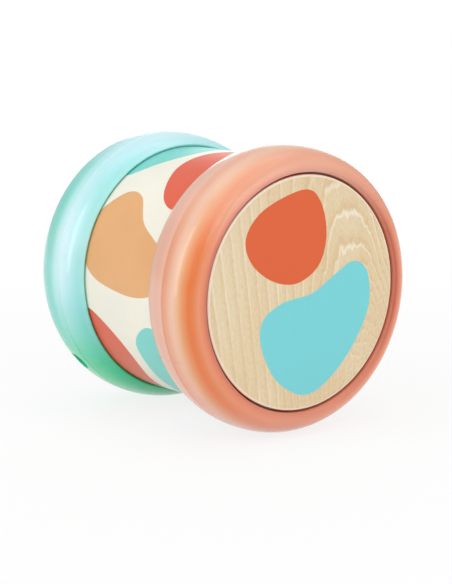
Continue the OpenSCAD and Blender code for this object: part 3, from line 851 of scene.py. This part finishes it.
# Wire point = helix point + wire radius x (cosine outwards + sine along the axis); the rise along the
# axis is the running sum of the pitch, and both ends shrink to a point to close the wire
def springGrid(angle):
    q = springShape
    turn = np.linspace(0, q["turns"], q["turns"] * q["steps"] + 1)
    fromEnd = np.minimum(turn, q["turns"] - turn)
    opened = np.clip((fromEnd - q["closeTurns"]) / q["easeTurns"], 0, 1)
    pitch = q["closePitch"] + (1 - q["closePitch"]) * opened
    rise = np.concatenate([[0], np.cumsum(0.5 * (pitch[1:] + pitch[:-1]))])
    x = springLow.x + q["wire"] + (springLength - 2 * q["wire"]) * rise / rise[-1]
    turn, x = (np.concatenate([v[:1], v, v[-1:]])[:, None] for v in (turn, x))
    wire = np.full_like(x, q["wire"])
    wire[[0, -1]] = 0
    b = np.arange(q["sides"]) * 2 * np.pi / q["sides"]
    r = q["radius"] + wire * np.cos(b)
    a = math.radians(angle)
    y = q["at"] * math.cos(a) + r * np.cos(2 * np.pi * turn)
    z = axisZ + q["at"] * math.sin(a) + r * np.sin(2 * np.pi * turn)
    return np.stack([x + wire * np.sin(b), y, z], -1)


for count, angle in enumerate(springShape["angles"], 1):
    spring = gridObject(f"return_spring_{count}", springGrid(angle), False, True)
    dress(spring, "drum", steel, "steel", "head_springs")
    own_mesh(spring)
print("stage: springs")

# Rear fittings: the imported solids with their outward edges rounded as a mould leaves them

fittings = {
    "rear_cover": {"name": "service_cover", "body": "drum", "finish": coverPlastic, "slot": "cream_plastic",
                   "round": 0.35 * mm, "depth": 0.05 * mm},
    "battery_door": {"name": "door_panel", "body": "door", "finish": coverPlastic, "slot": "cream_plastic",
                     "round": 0.35 * mm, "depth": 0.05 * mm},
    "power_knob": {"name": "switch_knob", "body": "switch", "finish": knobPlastic, "slot": "coral_plastic",
                   "round": 0.14 * mm, "depth": 1.95 * mm},
}
fittingMesh = {"merge": 0.002 * mm, "flat": math.radians(1), "roundSteps": 3, "level": 0.9999}


# A copy of a solid, merged and freed of flat edges; its convex corners, down to a depth under its
# rearmost point, become quarter rounds, and its level and upright faces stay flat
def rounded(node, q):
    m = fittingMesh
    mesh = nodes[node].data.copy()
    mesh.name = q["name"]
    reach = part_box(node)[0].x + q["depth"]
    work = bmesh.new()
    work.from_mesh(mesh)
    bmesh.ops.remove_doubles(work, verts=work.verts, dist=m["merge"])
    bmesh.ops.dissolve_limit(work, angle_limit=m["flat"], verts=work.verts, edges=work.edges)
    corners = [edge for edge in work.edges if edge.is_convex and edge.calc_face_angle() > cornerAngle
               and max(v.co.x for v in edge.verts) < reach]
    bmesh.ops.bevel(work, geom=corners, offset=q["round"], segments=m["roundSteps"], profile=0.5,
                    affect="EDGES")
    bmesh.ops.triangulate(work, faces=[face for face in work.faces if len(face.verts) > 4])
    work.to_mesh(mesh)
    work.free()
    obj = bpy.data.objects.new(q["name"], mesh)
    bpy.context.scene.collection.objects.link(obj)
    closeUp(obj)
    facing = np.zeros(3 * len(mesh.polygons))
    mesh.polygons.foreach_get("normal", facing)
    plain = np.abs(facing.reshape(-1, 3)).max(1) > m["level"]
    mesh.polygons.foreach_set("use_smooth", ~plain)
    return obj


for node, q in fittings.items():
    dress(rounded(node, q), q["body"], q["finish"], q["slot"], node)
print("stage: rear fittings")

# Stage: world, floor, lamps and camera

worldLight = {"lit": 0.56, "seen": 1.0}  # strength on the object, and as the camera sees it
world = bpy.data.worlds.new("studio")
bpy.context.scene.world = world
world.use_nodes = True
tree = world.node_tree
background = tree.nodes["Background"]
rays = addNode(tree, "ShaderNodeLightPath").outputs
seen = calc(tree, "MAXIMUM", rays["Is Camera Ray"], rays["Is Transmission Ray"])
strength = remap(tree, seen, (0, 1), (worldLight["lit"], worldLight["seen"]))
setSockets(tree, background, {"Color": (1, 1, 1, 1), "Strength": strength})

# A pale floor that glows to white away from the drum and keeps its shadow close by
floorShape = {"half": 3.0, "near": 0.12, "far": 0.45, "nearGlow": 0.82, "tone": (0.9, 0.9, 0.9, 1)}
end = floorShape["half"]
floorGrid = np.array([[[-end, -end, 0], [-end, end, 0]], [[end, -end, 0], [end, end, 0]]])
floor = gridObject("floor", floorGrid)
if floor.data.polygons[0].normal.z < 0:
    floor.data.flip_normals()
floorPaint, tree, shader = newMaterial("pale floor")
setSockets(tree, shader, {"Base Color": floorShape["tone"], "Roughness": 0.9})
glow = addNode(tree, "ShaderNodeEmission", Strength=1.0)
rays = addNode(tree, "ShaderNodeLightPath").outputs
seen = calc(tree, "MAXIMUM", rays["Is Camera Ray"], rays["Is Glossy Ray"])
share = remap(tree, length(tree, mapped(tree)), (floorShape["near"], floorShape["far"]),
              (floorShape["nearGlow"], 1), interpolation_type="SMOOTHSTEP")
both = addNode(tree, "ShaderNodeMixShader")
for socket, output in zip(both.inputs, (times(tree, seen, share), shader.outputs[0], glow.outputs[0])):
    tree.links.new(output, socket)
tree.links.new(both.outputs[0], tree.nodes["Material Output"].inputs["Surface"])
floor.data.materials.append(floorPaint)

# Soft lamps: place, aim, width, height and watts; the strip draws the streak along both rings
lamps = {
    "key": ((0.10, -1.05, 0.75), (0.0, 0.0, 0.07), 1.1, 1.1, 2.9),
    "top": ((0.10, -0.05, 1.15), (0.0, 0.0, 0.07), 1.2, 1.2, 3.6),
    "front": ((1.15, 0.35, 0.45), (0.02, 0.0, 0.07), 0.8, 0.8, 3.0),
    "shoulder": ((0.95, -0.50, 0.95), (0.04, 0.0, 0.07), 0.6, 0.6, 1.7),
    "back": ((-1.05, 0.95, 0.25), (-0.05, 0.0, 0.07), 0.8, 0.8, 3.4),
    "strip": ((-0.36, -1.05, 0.32), (0.0, 0.0, 0.07), 0.16, 1.2, 1.9),
}
for name, (place, aim, width, height, watts) in lamps.items():
    lamp = bpy.data.lights.new(name, "AREA")
    lamp.shape = "RECTANGLE"
    lamp.size = width
    lamp.size_y = height
    lamp.energy = watts
    holder = bpy.data.objects.new(name, lamp)
    holder.location = place
    holder.rotation_euler = (Vector(aim) - Vector(place)).to_track_quat("-Z", "Y").to_euler()
    bpy.context.scene.collection.objects.link(holder)

cameraShape = {
    "place": (0.63128, -0.47958, 0.20171),
    "azimuth": 52.6075,         # degrees
    "elevation": 10.3508,
    "lens": 106.07,
    "sensor": 36,
}
camera = bpy.data.cameras.new("camera")
camera.sensor_fit = "AUTO"
camera.sensor_width = cameraShape["sensor"]
camera.lens = cameraShape["lens"]
camera.clip_start = 0.01
holder = bpy.data.objects.new("camera", camera)
holder.location = cameraShape["place"]
down = math.radians(90 - cameraShape["elevation"])
holder.rotation_euler = (down, 0, math.radians(cameraShape["azimuth"]))
bpy.context.scene.collection.objects.link(holder)
bpy.context.scene.camera = holder
bpy.context.scene.view_settings.view_transform = "Standard"
print("stage: lights and camera")
